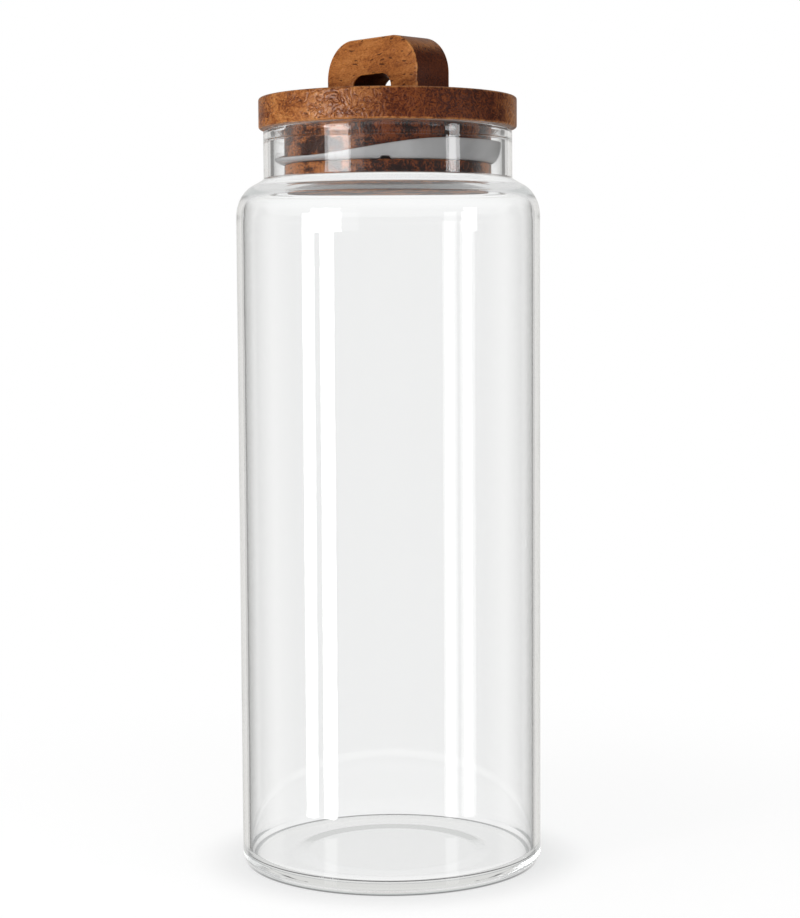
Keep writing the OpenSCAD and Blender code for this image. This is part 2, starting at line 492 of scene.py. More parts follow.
@dataclass(frozen=True)
class WoodFinish:
    """An oiled hardwood whose fibres run one way through the whole piece, so that its end grain is darker;
    that darkening also stands for painted shade, and the fibres are laid so that it falls on the side away
    from the key light.
    """

    name: str
    slot: str
    dark: Colour
    middle: Colour
    light: Colour
    fibre: Direction
    curl: Direction
    shift: Direction = (0.0, 0.0, 0.0)
    blotch: float = 1.0
    streak: float = 1.0
    wave: float = 0.5
    squiggle: float = 0.5
    grit: float = 1.0
    fleck: float = 0.6
    wear_and_highlight: float = 0.35
    end_grain_and_shade: Colour = (0.44, 0.26, 0.12)
    # Painted shade for the inside of a slot or groove
    recess_shade_tint: Colour = (0.30, 0.18, 0.12)
    roughness: float = 0.33
    index: float = 1.45
    pore_shade: float = 0.3
    worn_highlight_tint: float = 1.12
    relief: float = 0.7
    relief_h: float = 0.2 * MM
    bend_scale: float = 120.0
    bend_reach: float = 2.6 * MM
    streaks: Layer = Layer((0.13, 1.0, 1.0), 640.0, 4.0, 0.62)
    blotches: Layer = Layer((0.45, 1.0, 1.0), 125.0, 3.0)
    waves: Layer = Layer((1.0, 0.16, 0.16), 400.0, 2.0)
    grits: Layer = Layer((0.5, 1.0, 1.0), 2100.0, 2.0, 0.7)
    swirls: Layer = Layer((0.6, 1.0, 1.0), 330.0, 1.5)
    wrinkles: float = 6.0
    pore_shares: Direction = (0.26, 1.0, 1.0)
    pore_scale: float = 820.0
    pore_edge: Pair = (0.30, 0.14)
    pore_share: float = 0.5
    # Where each mask begins and ends
    end_and_shade_edge: Pair = (0.70, 0.93)
    wave_edge: Pair = (0.54, 0.68)
    worn_highlight_edge: Pair = (0.36, 0.56)
    # How sharp the wrinkles are and how strong the fine layers, on the side grain, and what end grain adds
    sharpness: Pair = (0.75, 1.75)
    fineness: Pair = (0.85, 1.0)
    # How far each layer moves the tone at strength 1, and the tones of the dark, middle and light colours
    blotch_tone: float = 1.5
    streak_tone: float = 0.9
    grit_tone: float = 0.9
    wave_tone: float = 0.24
    wrinkle_tone: float = 0.24
    tones: tuple[float, float, float] = (0.22, 0.5, 0.80)
    # How much each layer raises the surface or makes it rougher
    fine_height: float = 0.4
    pore_depth: float = 0.7
    grit_rough: float = 0.3
    end_rough: float = 0.2

    def material(self, worn_and_highlit: Mask | None = None, recess_shade: Mask | None = None) -> bpy.types.Material:
        """Builds the wood.

        Args:
            worn_and_highlit: Where the piece's edges are painted paler, partly from rubbing and partly as a
                painted highlight.
            recess_shade: Where shade is painted darker, inside a slot or groove.

        Returns:
            The material.
        """
        material, tree = new_material(self.name, self.slot)
        coordinates = tree.node("ShaderNodeTexCoord")
        place = coordinates.outputs["Object"]
        mapping = tree.node("ShaderNodeMapping", None, {"Vector": place, "Location": self.shift})
        moved = mapping.outputs["Vector"]
        push = tree.noise(moved, self.bend_scale, detail=2.0).outputs["Color"]
        bent = tree.pushed(moved, push, self.bend_reach)
        streaks = self.streaks.draw(tree, bent, self.fibre)
        blotches = self.blotches.draw(tree, bent, self.fibre)
        waves = tree.step(self.waves.draw(tree, bent, self.curl), *self.wave_edge)
        grit = self.grits.draw(tree, moved, self.fibre)
        swirl = self.swirls.draw(tree, bent, self.fibre)
        pore = self._pores(tree, bent)
        # Painted shade as well as end grain: faces across the fibres are darkened, on the side away from the
        # key light
        end = tree.step(abs(tree.dot(coordinates.outputs["Normal"], self.fibre)), *self.end_and_shade_edge)
        sharpness = self.sharpness[0] + end * self.sharpness[1]
        wrinkle = (abs(swirl * self.wrinkles % 1.0 - 0.5) * 2) ** sharpness - (sharpness + 1) ** -1.0
        fine = self.fineness[0] + end * self.fineness[1]
        tone = 0.5 + (blotches - 0.5) * (self.blotch_tone * self.blotch)
        tone = tone + (streaks - 0.5) * (self.streak_tone * self.streak)
        tone = tone + (grit - 0.5) * fine * (self.grit_tone * self.grit)
        tone = tone + waves * (self.wave_tone * self.wave)
        tone = tone + wrinkle * fine * (self.wrinkle_tone * self.squiggle)
        colour = tree.ramp(tone, tuple(zip(self.tones, (self.dark, self.middle, self.light))))
        colour = tree.tint(Blend.MIX, pore * self.fleck, colour, scaled(self.dark, self.pore_shade))
        # Darkens the end grain, which also paints shade on the side away from the key light
        colour = tree.tint(Blend.MULTIPLY, end, colour, self.end_grain_and_shade)
        # Paler edges: partly rubbing, partly a painted highlight where the softened edges catch the light
        if worn_and_highlit:
            rubbed_and_highlit = worn_and_highlit(tree, place) * tree.step(streaks, *self.worn_highlight_edge)
            colour = tree.tint(Blend.MIX, rubbed_and_highlit * self.wear_and_highlight, colour, scaled(self.light, self.worn_highlight_tint))
        # Painted shade: darkens the inside of a slot or groove
        if recess_shade:
            colour = tree.tint(Blend.MULTIPLY, recess_shade(tree, place), colour, self.recess_shade_tint)
        height = (grit + streaks) * self.fine_height + wrinkle * self.squiggle - pore * self.pore_depth
        shader = tree.node(
            "ShaderNodeBsdfPrincipled",
            None,
            {
                "Base Color": colour,
                "Roughness": self.roughness + (grit - 0.5) * self.grit_rough + end * self.end_rough,
                "IOR": self.index,
                "Normal": tree.bump(height, self.relief, self.relief_h),
            },
        )
        tree.show(shader)
        return material

    def _pores(self, tree: NodeTree, place: Socket) -> Value:
        """Finds the short dark flecks along the fibres, in a share of the pattern's cells.

        Args:
            tree: The material's tree.
            place: The place.

        Returns:
            1 in a fleck and 0 elsewhere.
        """
        where = tree.along(place, self.fibre, self.pore_shares)
        sockets = {"Vector": where, "Scale": self.pore_scale}
        cells = tree.node("ShaderNodeTexVoronoi", {"feature": "F1"}, sockets)
        parts = tree.node("ShaderNodeSeparateColor", None, {0: cells.outputs["Color"]})
        kept = tree.value(parts, "Red") > self.pore_share
        return tree.step(tree.value(cells, "Distance"), *self.pore_edge) * kept


@dataclass(frozen=True)
class GlassFinish:
    """Clear blown glass, which lets plain light through to what stands behind it."""

    name: str = "clear_glass"
    slot: str = "clear_glass"
    index: float = 1.5
    tint: Colour = (0.995, 0.998, 0.997)
    shade: Colour = (0.90, 0.91, 0.91)
    reflections: int = 4
    ripple_scale: float = 38.0
    ripple_h: float = 0.6 * MM
    ripple: float = 0.05

    def material(self) -> bpy.types.Material:
        """Builds the glass, with faint ripples from blowing.

        Returns:
            The material.
        """
        material, tree = new_material(self.name, self.slot)
        wavy = tree.value(tree.noise(tree.place(), self.ripple_scale, detail=1.0))
        shader = tree.node(
            "ShaderNodeBsdfPrincipled",
            None,
            {
                "Base Color": self.tint,
                "Roughness": 0.0,
                "IOR": self.index,
                "Transmission Weight": 1.0,
                "Normal": tree.bump(wavy, self.ripple, self.ripple_h),
            },
        )
        through = tree.node("ShaderNodeBsdfTransparent", None, {"Color": self.shade})
        path = tree.node("ShaderNodeLightPath")
        passing = tree.value(path, Ray.SHADOW.value).larger(tree.value(path, Ray.DIFFUSE.value))
        passing = passing.larger(tree.value(path, "Glossy Depth") > self.reflections - 0.5)
        both = {0: passing, 1: shader.outputs["BSDF"], 2: through.outputs["BSDF"]}
        tree.show(tree.node("ShaderNodeMixShader", None, both))
        return material


@dataclass(frozen=True)
class SiliconeFinish:
    """Soft translucent silicone with a faint mottle and dust-fine surface."""

    name: str = "seal_silicone"
    slot: str = "seal_silicone"
    colour: Colour = paint(219, 217, 218)
    shadow: Colour = paint(206, 204, 205)
    index: float = 1.42
    mottle_scale: float = 120.0
    mottle_edge: Pair = (0.35, 0.7)
    grain_scale: float = 4200.0
    grain_h: float = 0.03 * MM
    relief: float = 0.12
    # Roughness where the mottle is darkest, and what its lightest part adds
    roughness: Pair = (0.34, 0.12)
    softness: float = 0.35
    soft_depth: float = 1.2 * MM

    def material(self) -> bpy.types.Material:
        """Builds the silicone.

        Returns:
            The material.
        """
        material, tree = new_material(self.name, self.slot)
        place = tree.place()
        cloud = tree.value(tree.noise(place, self.mottle_scale, detail=3.0))
        grain = tree.value(tree.noise(place, self.grain_scale, detail=2.0))
        colour = tree.tint(Blend.MIX, tree.step(cloud, *self.mottle_edge), self.shadow, self.colour)
        shader = tree.node(
            "ShaderNodeBsdfPrincipled",
            None,
            {
                "Base Color": colour,
                "Roughness": self.roughness[0] + cloud * self.roughness[1],
                "IOR": self.index,
                "Subsurface Weight": self.softness,
                "Subsurface Radius": (1.0, 1.0, 1.0),
                "Subsurface Scale": self.soft_depth,
                "Normal": tree.bump(grain, self.relief, self.grain_h),
            },
        )
        tree.show(shader)
        return material


@dataclass(frozen=True)
class SteelFinish:
    """Zinc-plated steel of the hidden screws, with drawing lines round the shank."""

    name: str = "screw_steel"
    slot: str = "screw_steel"
    colour: Colour = (0.60, 0.60, 0.62)
    line_stretch: Direction = (1.0, 1.0, 6.0)
    line_scale: float = 1500.0
    line_h: float = 0.02 * MM
    relief: float = 0.15
    # Roughness between the lines, and what they add
    roughness: Pair = (0.26, 0.2)
    bloom_scale: float = 700.0
    bloom_shade: float = 0.8

    def material(self) -> bpy.types.Material:
        """Builds the steel.

        Returns:
            The material.
        """
        material, tree = new_material(self.name, self.slot)
        place = tree.place()
        flat = tree.vector("MULTIPLY", place, self.line_stretch).outputs["Vector"]
        lines = tree.value(tree.noise(flat, self.line_scale, detail=3.0))
        bloom = tree.value(tree.noise(place, self.bloom_scale, detail=2.0))
        shader = tree.node(
            "ShaderNodeBsdfPrincipled",
            None,
            {
                "Base Color": tree.tint(Blend.MIX, bloom, scaled(self.colour, self.bloom_shade), self.colour),
                "Metallic": 1.0,
                "Roughness": self.roughness[0] + lines * self.roughness[1],
                "Normal": tree.bump(lines, self.relief, self.line_h),
            },
        )
        tree.show(shader)
        return material


# Turned pieces


class Lathe:
    """A geometry group that turns a half section round Z into a closed solid."""

    POINTS = "Geometry"
    TURNS = "Segments"
    FINISH = "Finish"
    SEAM = 1e-7

    def __init__(self) -> None:
        """Builds the group with its named inputs."""
        self.group = bpy.data.node_groups.new("lathe", "GeometryNodeTree")
        add = self.group.interface.new_socket
        add(self.POINTS, in_out="INPUT", socket_type="NodeSocketGeometry")
        self.turns_id = add(self.TURNS, in_out="INPUT", socket_type="NodeSocketInt").identifier
        self.finish_id = add(self.FINISH, in_out="INPUT", socket_type="NodeSocketMaterial").identifier
        add("Geometry", in_out="OUTPUT", socket_type="NodeSocketGeometry")
        self._build(NodeTree(self.group))

    def _build(self, tree: NodeTree) -> None:
        """Lays the section's points round the axis, one column of a grid for each segment.

        Args:
            tree: The group's tree.
        """
        entry = tree.node("NodeGroupInput")
        section = entry.outputs[self.POINTS]
        turns = tree.value(entry, self.TURNS)
        size = tree.node("GeometryNodeAttributeDomainSize", {"component": "MESH"}, {"Geometry": section})
        rows = tree.value(size, "Point Count")
        grid = tree.node("GeometryNodeMeshGrid", None, {"Vertices X": turns + 1, "Vertices Y": rows})
        index = tree.value(tree.node("GeometryNodeInputIndex"))
        place = tree.node("GeometryNodeInputPosition").outputs["Position"]
        sample = tree.node(
            "GeometryNodeSampleIndex",
            {"data_type": "FLOAT_VECTOR", "domain": "POINT"},
            {"Geometry": section, "Value": place, "Index": index % rows},
        )
        turned = tree.node(
            "ShaderNodeVectorRotate",
            {"rotation_type": "Z_AXIS"},
            {"Vector": sample.outputs["Value"], "Angle": (index / rows).floor() / turns * math.tau},
        )
        shape = grid.outputs["Mesh"]
        for kind, sockets in (
            ("GeometryNodeSetPosition", {"Position": turned.outputs["Vector"]}),
            ("GeometryNodeMergeByDistance", {"Distance": self.SEAM}),
            ("GeometryNodeRealizeInstances", {}),
            ("GeometryNodeSetMaterial", {"Material": entry.outputs[self.FINISH]}),
        ):
            shape = tree.node(kind, None, {"Geometry": shape, **sockets}).outputs["Geometry"]
        tree.node("NodeGroupOutput", None, {"Geometry": shape})

    def turn(self, name: str, section: Sequence[Point], segments: int, finish: bpy.types.Material) -> Piece:
        """Turns a half section into a piece.

        Args:
            name: The piece's name.
            section: Points of (radius, height), from the axis round to the axis, or once round a ring.
            segments: How many columns go round.
            finish: The piece's material.

        Returns:
            The piece, as a plain closed mesh at the origin.
        """
        mesh = bpy.data.meshes.new(name + "_section")
        edges = [(i, i + 1) for i in range(len(section) - 1)]
        mesh.from_pydata([(r, 0.0, z) for r, z in section], edges, [])
        draft = add_object(name + "_draft", mesh)
        modifier = draft.modifiers.new("lathe", "NODES")
        modifier.node_group = self.group
        modifier[self.turns_id] = segments
        modifier[self.finish_id] = finish
        return plain_mesh(name, draft)


def add_object(name: str, data: bpy.types.ID) -> Piece:
    """Puts a mesh, a lamp or a camera into the scene, at the origin.

    Args:
        name: The object's name.
        data: What it shows.

    Returns:
        The object.
    """
    made = bpy.data.objects.new(name, data)
    bpy.context.scene.collection.objects.link(made)
    return made


def plain_mesh(name: str, draft: Piece, sharp: float = 32.0, smallest: float = 1e-8) -> Piece:
    """Turns a draft with modifiers into a plain mesh piece, with its faces pointing outwards.

    Args:
        name: The piece's name.
        draft: The object with its modifiers, which is removed.
        sharp: Edges that turn by more than this angle stay sharp.
        smallest: Edges shorter than this are taken out.

    Returns:
        The finished piece.
    """
    bpy.context.view_layer.update()
    evaluated = draft.evaluated_get(bpy.context.evaluated_depsgraph_get())
    mesh = bpy.data.meshes.new_from_object(evaluated)
    bpy.data.objects.remove(draft)
    mesh.name = name
    work = bmesh.new()
    work.from_mesh(mesh)
    bmesh.ops.dissolve_degenerate(work, edges=work.edges, dist=smallest)
    bmesh.ops.recalc_face_normals(work, faces=work.faces)
    work.to_mesh(mesh)
    work.free()
    mesh.polygons.foreach_set("use_smooth", [True] * len(mesh.polygons))
    mesh.set_sharp_from_angle(angle=math.radians(sharp))
    return add_object(name, mesh)


def cut(piece: Piece, cutter: Piece) -> None:
    """Adds a cut to a draft: the cutter is taken away from it when the draft is made plain.

    Args:
        piece: The draft.
        cutter: The tool, a closed mesh.
    """
    modifier = piece.modifiers.new("cut", "BOOLEAN")
    modifier.operation = "DIFFERENCE"
    modifier.solver = "EXACT"
    modifier.object = cutter


def settle(piece: Piece, body: Body, node: str) -> Piece:
    """Fixes a finished piece to its body and hides the node that it stands for.

    Args:
        piece: The finished piece.
        body: The body that it moves with.
        node: Name of the node that it replaces.

    Returns:
        The same piece.
    """
    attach(piece, body.value)
    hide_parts(node)
    LOG.info("%s rides on %s: %d faces", piece.name, body.value, len(piece.data.polygons))
    return piece


# The jar


@dataclass(frozen=True)
class GlassJar:
    """The blown glass: base, body, shoulder, neck and melted rim."""

    lathe: Lathe
    body_r: float
    height: float
    neck_r: float
    body_wall: float = 2.5 * MM
    shoulder_h: float = 11.1 * MM
    shoulder_end: float = 67.4
    inner_drop: float = 4.218 * MM
    inner_rise: float = 11.877 * MM
    inner_end: float = 55.4
    inner_fullness: float = 3.6
    inner_fillet: float = 4.8 * MM
    neck_wall: float = 3.3 * MM
    neck_h: float = 17.5 * MM
    neck_fillet: float = 1.4 * MM
    rim_outer: Point = (1.8 * MM, 1.2 * MM)
    rim_inner_h: float = 1.8 * MM
    rim_flat: float = 0.2 * MM
    bead_w: float = 0.3 * MM
    bead_h: float = 3.3 * MM
    bead_run: float = 1.2 * MM
    lid_gap: float = 0.02 * MM
    floor_t: float = 3.2 * MM
    base_edge_r: float = 3.0 * MM
    floor_corner_r: float = 3.2 * MM
    punt_r: float = 33.0 * MM
    punt_depth: float = 0.35 * MM
    punt_slope: float = 5.5 * MM
    punt_bend: float = 1.2 * MM
    segments: int = 288
    shoulder_steps: int = 48
    fillet_steps: int = 24
    edge_steps: int = 20
    bead_steps: int = 12
    punt_steps: int = 6

    @property
    def bore_r(self) -> float:
        """Radius of the neck's bore."""
        return self.neck_r - self.neck_wall

    @property
    def bead_r(self) -> float:
        """Radius inside the thickened rim."""
        return self.bore_r - self.bead_w

    def shoulder(
        self, wide: Point, narrow_r: float, rise: float, fillet: float, end: float, fullness: float = 2.0
    ) -> list[Point]:
        """Gives the shoulder's curve on one side of the glass.

        Args:
            wide: Where the curve leaves the wall under the shoulder.
            narrow_r: Radius of the neck above it.
            rise: Height of the shoulder's quarter round.
            fillet: Height of the hollow curve into the neck.
            end: How far round the quarter the curve goes before it bends into the neck.
            fullness: 2 for an ellipse, more for a squarer curve.

        Returns:
            The points from the wall up to the neck.
        """
        wide_r, foot = wide
        across = wide_r - narrow_r
        power = 2 / fullness
        curve = []
        for i in range(self.shoulder_steps + 1):
            t = math.radians(end * i / self.shoulder_steps)
            curve.append((narrow_r + across * math.cos(t) ** power, foot + rise * math.sin(t) ** power))
        last_r, last_z = curve.pop()
        slope = rise / across * math.tan(math.radians(end)) ** (power - 2)
        corner = (narrow_r, last_z + (last_r - narrow_r) * slope)
        return curve + bend((last_r, last_z), corner, (narrow_r, foot + rise + fillet), self.fillet_steps)

    def hollow(self) -> list[Point]:
        """Gives the underside's shallow hollow.

        Returns:
            The points from the middle out to the ring that the jar stands on.
        """
        slope = self.punt_depth / self.punt_slope
        inner_r = self.punt_r - self.punt_slope
        reach = self.punt_bend
        deep = self.punt_depth
        leave = ((inner_r - reach, deep), (inner_r, deep), (inner_r + reach, deep - reach * slope))
        land = ((self.punt_r - reach, reach * slope), (self.punt_r, 0.0), (self.punt_r + reach, 0.0))
        return [(0.0, deep)] + bend(*leave, self.punt_steps) + bend(*land, self.punt_steps)

    def rim(self, top: float) -> list[Point]:
        """Gives the rim: two melted edges, then the thickened part and its run out into the bore.

        Args:
            top: Height of the rim.

        Returns:
            The points from the outside over the top and down the bore.
        """
        wide, high = self.rim_outer
        inner_w = self.neck_r - self.bead_r - wide - self.rim_flat
        points = oval((self.neck_r - wide, top - high), self.rim_outer, 0, 90, self.edge_steps)
        inner = (inner_w, self.rim_inner_h)
        points += oval((self.bead_r + inner_w, top - self.rim_inner_h), inner, 90, 180, self.edge_steps)
        bead_z = top - self.bead_h
        for i in range(self.bead_steps + 1):
            share = i / self.bead_steps
            points.append((self.bead_r + self.bead_w * ease(share), bead_z - self.bead_run * share))
        return points

    def section(self) -> list[Point]:
        """Gives the half section.

        Returns:
            The points from the middle of the underside round to the middle of the floor.
        """
        foot = self.height - self.neck_h - self.shoulder_h
        bore_wall_r = self.body_r - self.body_wall
        edge, corner = self.base_edge_r, self.floor_corner_r
        outside = arc((self.body_r - edge, edge), edge, -90, 0, self.edge_steps)
        outside += self.shoulder(
            (self.body_r, foot), self.neck_r, self.shoulder_h, self.neck_fillet, self.shoulder_end
        )
        inside = self.shoulder(
            (bore_wall_r, foot - self.inner_drop),
            self.bore_r,
            self.inner_rise,
            self.inner_fillet,
            self.inner_end,
            self.inner_fullness,
        )
        floor = arc((bore_wall_r - corner, self.floor_t + corner), corner, 0, -90, self.edge_steps)
        rim = self.rim(self.height - self.lid_gap)
        return self.hollow() + outside + rim + list(reversed(inside)) + floor + [(0.0, self.floor_t)]

    def build(self, finish: GlassFinish) -> Piece:
        """Turns the glass and puts it in place of its node."""
        piece = self.lathe.turn("jar_glass", held(self.section()), self.segments, finish.material())
        return settle(piece, Body.JAR, "glass_jar")


# The lid


@dataclass(frozen=True)
class ScrewPlan:
    """Where the two hidden screws of the handle sit, and the holes that they need."""

    lathe: Lathe
    across: float
    head_z: float
    tip_z: float
    head_r: float
    shank_r: float = 1.675 * MM
    head_h: float = 2.2 * MM
    head_clearance: float = 0.15 * MM
    disc_clearance: float = 0.225 * MM
    handle_clearance: float = 0.075 * MM
    room: float = 0.5 * MM
    overrun: float = 1.0 * MM
    segments: int = 48

    def drill(self, blank: Piece, name: str, hole: Sequence[Point]) -> Piece:
        """Drills a turned hole at both screws.

        Args:
            blank: The draft of the piece, which is removed.
            name: The finished piece's name.
            hole: The hole's section.

        Returns:
            The drilled piece.
        """
        tool = self.lathe.turn(name + "_drill", hole, self.segments, bpy.data.materials.new(name + "_drill"))
        work = bmesh.new()
        for side in (-1, 1):
            copy = tool.data.copy()
            copy.transform(Matrix.Translation((side * self.across, 0.0, 0.0)))
            work.from_mesh(copy)
            bpy.data.meshes.remove(copy)
        work.to_mesh(tool.data)
        work.free()
        cut(blank, tool)
        piece = plain_mesh(name, blank)
        bpy.data.objects.remove(tool)
        return piece

    def disc_hole(self, under_z: float, top_z: float) -> list[Point]:
        """Gives the section of the countersunk hole through the disc.

        Args:
            under_z: Height of the disc's underside.
            top_z: Height of its top.

        Returns:
            The points, from the axis round to the axis.
        """
        wide = self.head_r + self.head_clearance
        narrow = self.shank_r + self.disc_clearance
        low, high = under_z - self.overrun, top_z + self.overrun
        sink = [(wide, self.head_z), (narrow, self.head_z + self.head_h)]
        return [(0.0, low), (wide, low)] + sink + [(narrow, high), (0.0, high)]

    def handle_hole(self, under_z: float) -> list[Point]:
        """Gives the section of the blind hole in a foot of the handle.

        Args:
            under_z: Height of the foot's underside.

        Returns:
            The points, from the axis round to the axis.
        """
        narrow = self.shank_r + self.handle_clearance
        low, deep = under_z - self.overrun, self.tip_z + self.room
        return [(0.0, low), (narrow, low), (narrow, deep), (0.0, deep)]


@dataclass(frozen=True)
class LidDisc:
    """The turned wooden disc that rests on the rim."""

    lathe: Lathe
    radius: float
    low: float
    high: float
    edge_r: float = 0.8 * MM
    edge_wear_and_highlight: Pair = (0.05, 0.4)
    ring_shares: tuple[float, ...] = (0.25, 0.5, 0.75)
    segments: int = 256
    edge_steps: int = 8

    def build(self, finish: WoodFinish, screws: ScrewPlan) -> Piece:
        """Turns the disc, drills it and puts it in place of its node.

        Args:
            finish: Its wood.
            screws: The screws that pass through it.

        Returns:
            The disc.
        """
        edge, inner = self.edge_r, self.radius - self.edge_r
        rings = [inner * share for share in self.ring_shares]
        section = [(0.0, self.low)] + [(r, self.low) for r in rings]
        section += arc((inner, self.low + edge), edge, -90, 0, self.edge_steps)
        section += arc((inner, self.high - edge), edge, 0, 90, self.edge_steps)
        section += [(r, self.high) for r in reversed(rings)] + [(0.0, self.high)]
        blank = self.lathe.turn("disc_blank", section, self.segments, finish.material(self._edges))
        piece = screws.drill(blank, "lid_top_disc", screws.disc_hole(self.low, self.high))
        return settle(piece, Body.LID, "lid_disc")

    def _edges(self, tree: NodeTree, place: Socket) -> Value:
        """Finds the disc's two rounded edges, which are painted paler, partly from rubbing and partly as a
        highlight.

        Args:
            tree: The material's tree.
            place: Object coordinates.

        Returns:
            1 on the edges and 0 elsewhere.
        """
        x, y, z = tree.axes(place)
        middle, half = (self.low + self.high) / 2, (self.high - self.low) / 2
        outwards = ((x * x + y * y).root() - (self.radius - self.edge_r)) / self.edge_r
        upwards = (abs(z - middle) - (half - self.edge_r)) / self.edge_r
        return tree.step(outwards.larger(0.0) * upwards.larger(0.0), *self.edge_wear_and_highlight)


@dataclass(frozen=True)
class LidPlug:
    """The wooden plug under the disc, with the groove that holds the seal."""

    lathe: Lathe
    radius: float
    low: float
    high: float
    flange_h: float = 4.5 * MM
    groove_h: float = 1.9 * MM
    groove_depth: float = 3.0 * MM
    groove_edge_r: float = 0.3 * MM
    groove_blur: float = 0.02 * MM
    edge_r: float = 0.6 * MM
    ring_share: float = 0.5
    segments: int = 256
    edge_steps: int = 6

    @property
    def groove_heights(self) -> Pair:
        """Heights of the groove's floor and roof."""
        floor = self.low + self.flange_h
        return floor, floor + self.groove_h

    def build(self, finish: WoodFinish) -> Piece:
        """Turns the plug and puts it in place of its node.

        Args:
            finish: Its wood.

        Returns:
            The plug.
        """
        edge, inner = self.edge_r, self.radius - self.edge_r
        groove_r = self.radius - self.groove_depth
        groove_low, groove_high = self.groove_heights
        lip, ring = self.groove_edge_r, inner * self.ring_share
        section = [(0.0, self.low), (ring, self.low)]
        section += arc((inner, self.low + edge), edge, -90, 0, self.edge_steps)
        section += arc((inner, groove_low - edge), edge, 0, 90, self.edge_steps)
        section += [(groove_r, groove_low), (groove_r, groove_high)]
        section += arc((self.radius - lip, groove_high + lip), lip, -90, 0, self.edge_steps)
        section += [(self.radius, self.high), (ring, self.high), (0.0, self.high)]
        wood = finish.material(recess_shade=self._groove)
        piece = self.lathe.turn("lid_neck_plug", section, self.segments, wood)
        return settle(piece, Body.LID, "lid_plug")

    def _groove(self, tree: NodeTree, place: Socket) -> Value:
        """Finds the inside of the seal's groove, which is painted darker as shade.

        Args:
            tree: The material's tree.
            place: Object coordinates.

        Returns:
            1 in the groove and 0 elsewhere.
        """
        z = tree.axes(place)[2]
        low, high = self.groove_heights
        return tree.step(z, low - self.groove_blur, low) * tree.step(z, high + self.groove_blur, high)


@dataclass(frozen=True)
class LidHandle:
    """The arched wooden handle with its slot, standing on two feet."""

    width: float
    thickness: float
    low: float
    high: float
    corner_r: float = 12.2 * MM
    slot_w: float = 18.3 * MM
    slot_h: float = 7.4 * MM
    slot_corner_r: float = 4.6 * MM
    slot_blur: float = 0.1 * MM
    soft_edge: float = 0.55 * MM
    soft_steps: int = 4
    soft_angle: float = 50.0
    worn_highlight_shares: Pair = (0.7, 0.12)
    corner_steps: int = 24
    slot_steps: int = 12

    def outline(self) -> list[Point]:
        """Gives the outline seen from the front.

        Returns:
            The points once round, from the left foot's outer corner.
        """
        half, slot = self.width / 2, self.slot_w / 2
        shoulder = self.high - self.corner_r
        roof = self.low + self.slot_h - self.slot_corner_r
        inner = slot - self.slot_corner_r
        outer = half - self.corner_r
        points = [(-half, self.low)]
        points += arc((-outer, shoulder), self.corner_r, 180, 90, self.corner_steps)
        points += arc((outer, shoulder), self.corner_r, 90, 0, self.corner_steps)
        points += [(half, self.low), (slot, self.low)]
        points += arc((inner, roof), self.slot_corner_r, 0, 90, self.slot_steps)
        points += arc((-inner, roof), self.slot_corner_r, 90, 180, self.slot_steps)
        return points + [(-slot, self.low)]

    def build(self, finish: WoodFinish, screws: ScrewPlan) -> Piece:
        """Cuts the handle out, softens its edges, drills it and puts it in place of its node.

        Args:
            finish: Its wood.
            screws: The screws that hold it.

        Returns:
            The handle.
        """
        mesh = bpy.data.meshes.new("handle_blank")
        work = bmesh.new()
        front = [work.verts.new((x, -self.thickness / 2, z)) for x, z in self.outline()]
        face = work.faces.new(front)
        back = bmesh.ops.extrude_face_region(work, geom=[face])
        moved = [v for v in back["geom"] if isinstance(v, bmesh.types.BMVert)]
        bmesh.ops.translate(work, verts=moved, vec=(0.0, self.thickness, 0.0))
        bmesh.ops.recalc_face_normals(work, faces=work.faces)
        work.to_mesh(mesh)
        work.free()
        mesh.materials.append(finish.material(self._edges, self._slot))
        blank = add_object("handle_blank", mesh)
        bevel = blank.modifiers.new("soft_edges", "BEVEL")
        bevel.width = self.soft_edge
        bevel.segments = self.soft_steps
        bevel.limit_method = "ANGLE"
        bevel.angle_limit = math.radians(self.soft_angle)
        piece = screws.drill(blank, "lid_arched_handle", screws.handle_hole(self.low))
        return settle(piece, Body.LID, "lid_handle")

    def _edges(self, tree: NodeTree, place: Socket) -> Value:
        """Finds the softened edges round the two broad faces, which alone lie at these depths; they are
        painted paler, partly from rubbing and partly as a highlight.

        Args:
            tree: The material's tree.
            place: Object coordinates.

        Returns:
            1 on the edges and 0 elsewhere.
        """
        depth = abs(tree.axes(place)[1])
        face = self.thickness / 2
        inner, outer = (face - self.soft_edge * share for share in self.worn_highlight_shares)
        return tree.step(depth, face - self.soft_edge, inner) * tree.step(depth, face, outer)

    def _slot(self, tree: NodeTree, place: Socket) -> Value:
        """Finds the walls and the roof of the slot, which are painted darker as shade.

        Args:
            tree: The material's tree.
            place: Object coordinates.

        Returns:
            1 in the slot and 0 elsewhere.
        """
        across, depth, height = tree.axes(place)
        half, face = self.slot_w / 2 + self.slot_blur, self.thickness / 2
        inside = (abs(across) < half) * (height < self.low + self.slot_h + self.slot_blur)
        return inside * tree.step(abs(depth), face, face - self.soft_edge)


